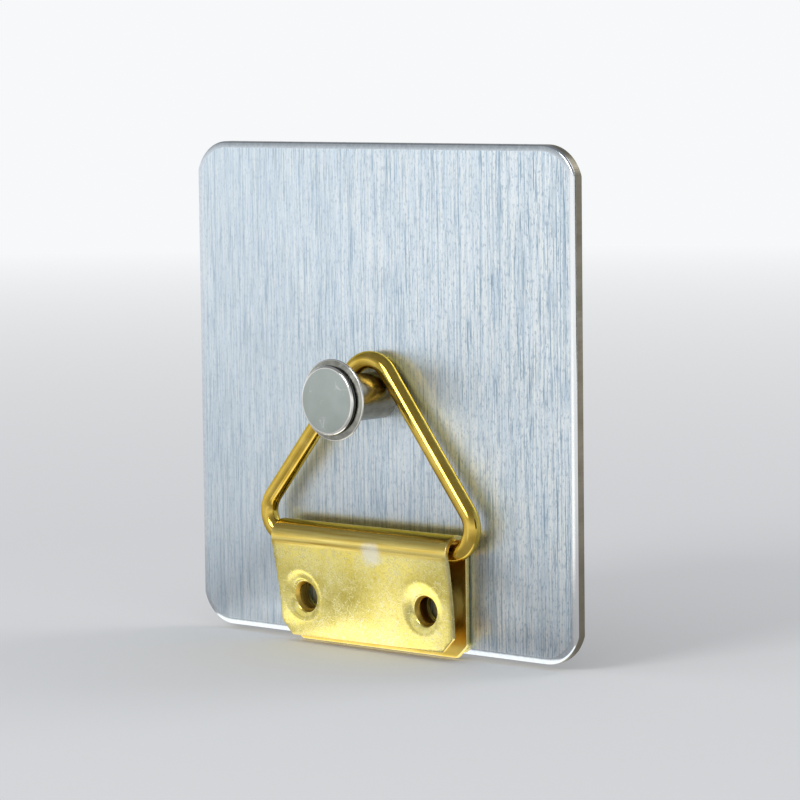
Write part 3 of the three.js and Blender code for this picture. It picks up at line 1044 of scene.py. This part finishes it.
def peg_nickel():
    # Painted shade: the groove, neck and flange slope get darker nickel
    groove = shaded_nickel("shaded_groove", *GROOVE_SHADE_NICKEL)
    neck = shaded_nickel("shaded_neck", *NECK_SHADE_NICKEL)
    slope = shaded_nickel("shaded_slope", *SLOPE_SHADE_NICKEL)
    return [polished_nickel(), satin_face(), groove, neck, slope]


def strap_brass():
    inner = dull_brass("inner_brass", *INNER_BRASS, shade_share=0.85)
    hole = dull_brass("shaded_hole_brass", *SHADED_HOLE_BRASS, shade_share=0.3)
    return [sheet_brass(), sheared_brass(), inner, hole]


def dress():
    plate = piece("brushed_plate", plate_mesh, plate_metal(), "wall_plate", "face_plate")
    sharp_edges(plate, PLATE_CREASE)
    flat_map(plate)
    peg = piece("turned_peg", peg_mesh, peg_nickel(), "wall_plate", "peg")
    sharp_edges(peg, PEG_CREASE)
    ring = piece("wire_ring", ring_mesh, [wire_brass()], "ring", "triangle_ring")
    sharp_edges(ring, RING_CREASE)
    strap = piece("folded_strap", strap_mesh, strap_brass(), "strap", "hanger_strap")
    sharp_edges(strap, STRAP_CREASE)
    for node, material in (("adhesive_pad", foam()), ("peg_screw", zinc())):
        for slot in frame["nodes"][node].material_slots:
            slot.material = material


# Floor, background and lights. A fade runs from one distance from the hook to another, in metres, and a
# rise from one upward slope of the view to another
FLOOR_DROP = 0.2 * MM
FLOOR_REACH = 6
FLOOR_FADE = (0.12, 0.9)
FLOOR_COLOUR = (0.78, 0.785, 0.79)
BACKGROUND_COLOUR = (0.93, 0.94, 0.95)
SKY_COLOUR = (0.48, 0.49, 0.50)
ZENITH_COLOUR = (0.23, 0.235, 0.245)
SKY_RISE = (0.08, 0.28)
ZENITH_RISE = (0.28, 0.6)
FILL_COLOUR = (0.62, 0.63, 0.65)
# Reflections see the floor as emission: darker close to the hook as a painted shadow, and paler further
# off
MIRRORED_PAINTED_SHADOW = (0.38, 0.38, 0.385)
MIRRORED_FLOOR = (0.70, 0.705, 0.71)
MIRRORED_FADE = (0.04, 0.12)
# Painted glow: brighter than white, seen only in reflections
MIRRORED_GLOW_COLOUR = (1.6, 1.585, 1.54)

# Painted glowing patches on the floor, brighter than white, which only reflections see: left, right and
# fade, front, back and fade, all in millimetres, and their share of the glow
UNDER_STRAP = (-31, 3, 4, -27, -6, 4, 0.17)
FAR_LEFT = (-33, -13, 6, -27, -23.5, 4, 0.34)
FAR_BAND = (-12.5, -11.5, 3, -60, -19, 2, 0.18)
ON_RIGHT = (-8, 3, 6, -17, -9, 4, 0.6)
CLOSE_RIGHT = (-9, 3, 7, -12.5, -9, 2.5, 0.9)
LEFT_CORNER = (-23, -17.5, 2, -13, -10.5, 1.5, 0.75)
CLOSE_BY = (-14, 4, 2, -9, -4.5, 2, 0.35)
PLATE_FOOT = (-31, 31, 1, -3.6, 0, 0.8, 0.85)
GLOWING_PATCHES = (UNDER_STRAP, FAR_LEFT, FAR_BAND, ON_RIGHT, CLOSE_RIGHT, LEFT_CORNER, CLOSE_BY, PLATE_FOOT)

# A painted glowing wedge that widens out from the plate's right side, and shows as a painted highlight in
# the slope of its edge there: its sides and their fade as shares of the distance from the wall, and its
# ends in millimetres
WEDGE_SIDES = (0.24, 0.38, 0.06)
WEDGE_ENDS = (-900, -75, 30)
WEDGE_SHARE = 0.5
CARD_COLOUR = (0.03, 0.03, 0.03)


def window(n, value, low, high, fade):
    """1 between low and high, and 0 past them by the fade or more."""
    return n.math("MULTIPLY", n.spread(value, low - fade, low), n.spread(value, high + fade, high))


def mirrored_glow(n):
    """The share of painted glow that metal sees in the floor close to the hook, in patches brighter than
    white.
    """
    x, y = n.axis("X"), n.axis("Y")
    glow = 0
    for left, right, side_fade, front, back, end_fade, share in GLOWING_PATCHES:
        across = window(n, x, left, right, side_fade)
        along = window(n, y, front, back, end_fade)
        patch = n.math("MULTIPLY", n.math("MULTIPLY", across, along), share)
        glow = n.math("ADD", glow, patch)
    aside = n.math("DIVIDE", n.math("SUBTRACT", x, PLATE_HALF_WIDTH / MM), y)
    wedge = n.math("MULTIPLY", window(n, aside, *WEDGE_SIDES), window(n, y, *WEDGE_ENDS))
    return n.math("MAXIMUM", glow, n.math("MULTIPLY", wedge, WEDGE_SHARE))


def flat_sheet(name, half_width, half_length, level):
    """A flat rectangle that faces +Z."""
    mesh = bpy.data.meshes.new(name)
    corners = [(-1, -1), (1, -1), (1, 1), (-1, 1)]
    points = [(x * half_width, y * half_length, level) for x, y in corners]
    mesh.from_pydata(points, [], [(0, 1, 2, 3)])
    made = bpy.data.objects.new(name, mesh)
    bpy.context.scene.collection.objects.link(made)
    return made


def stage():
    """A pale floor, lit and shaded near the hook, which runs out into the background's colour."""
    floor = flat_sheet("floor", FLOOR_REACH, FLOOR_REACH, cad_box[0].z - FLOOR_DROP)
    n = new_material("floor")
    lit = n.add("BsdfDiffuse", {"Color": (*FLOOR_COLOUR, 1)}).outputs[0]
    far = n.add("Emission", {"Color": (*BACKGROUND_COLOUR, 1)}).outputs[0]
    reach = n.length(n.add("TexCoord").outputs["Object"])
    # Glossy rays see a painted shadow and painted glowing patches near the hook, not the lit floor
    near = n.mix(n.spread(reach, *MIRRORED_FADE), MIRRORED_PAINTED_SHADOW, MIRRORED_FLOOR)
    near = n.mix(mirrored_glow(n), near, MIRRORED_GLOW_COLOUR)
    near = n.add("Emission", {"Color": near}).outputs[0]
    mirrored = n.add("LightPath").outputs["Is Glossy Ray"]
    near = n.add("MixShader", {0: mirrored, 1: lit, 2: near}).outputs[0]
    share = n.spread(reach, *FLOOR_FADE)
    mixed = n.add("MixShader", {0: share, 1: near, 2: far}).outputs[0]
    n.add("OutputMaterial", {"Surface": mixed})
    floor.data.materials.append(n.owner)


def world():
    """Pale all round near the horizon and darker overhead, where the eye or a reflection meets it."""
    made = bpy.data.worlds.new("studio")
    bpy.context.scene.world = made
    n = Nodes(made)
    path = n.add("LightPath")
    seen = n.math("MAXIMUM", path.outputs["Is Camera Ray"], path.outputs["Is Glossy Ray"])
    seen = n.math("MAXIMUM", seen, path.outputs["Is Transmission Ray"])
    height = n.add("SeparateXYZ", {0: n.add("TexCoord").outputs["Generated"]}).outputs["Z"]
    shown = n.mix(n.spread(height, *SKY_RISE), BACKGROUND_COLOUR, SKY_COLOUR)
    shown = n.mix(n.spread(height, *ZENITH_RISE), shown, ZENITH_COLOUR)
    fill = n.add("Background", {"Color": (*FILL_COLOUR, 1)}).outputs[0]
    backdrop = n.add("Background", {"Color": shown}).outputs[0]
    choice = n.add("MixShader", {0: seen, 1: fill, 2: backdrop}).outputs[0]
    n.add("OutputWorld", {"Surface": choice})


def facing_hook(azimuth, elevation, distance):
    """The place of a lamp or card that looks at the hook, with its angles in degrees."""
    back = outwards(math.radians(azimuth), math.radians(elevation))
    turn = back.to_track_quat("Z", "Y").to_matrix().to_4x4()
    return Matrix.Translation(back * distance) @ turn


def softbox(name, azimuth, elevation, distance, size, power):
    """A flat area light that looks at the hook."""
    data = bpy.data.lights.new(name, "AREA")
    data.shape = "RECTANGLE"
    data.size, data.size_y = size
    data.energy = power
    made = bpy.data.objects.new(name, data)
    bpy.context.scene.collection.objects.link(made)
    made.matrix_world = facing_hook(azimuth, elevation, distance)
    made.visible_camera = False


def dark_card(name, azimuth, elevation, distance, size):
    """A dark card beside the camera's view, which only reflections show, as a studio has for metal."""
    n = new_material(name)
    dull = n.add("BsdfDiffuse", {"Color": (*CARD_COLOUR, 1)}).outputs[0]
    n.add("OutputMaterial", {"Surface": dull})
    width, height = size
    card = flat_sheet(name, width / 2, height / 2, 0)
    card.data.materials.append(n.owner)
    card.matrix_world = facing_hook(azimuth, elevation, distance)
    card.visible_camera = False
    card.visible_diffuse = False
    card.visible_shadow = False


camera()
dress()
stage()
world()
softbox("key", azimuth=-4, elevation=27, distance=0.8, size=(0.3, 0.3), power=1.8)
softbox("back", azimuth=150, elevation=40, distance=0.9, size=(0.4, 0.4), power=1.0)
dark_card("card_right", azimuth=105, elevation=10, distance=0.9, size=(0.75, 0.5))
bpy.context.scene.view_settings.view_transform = "Standard"
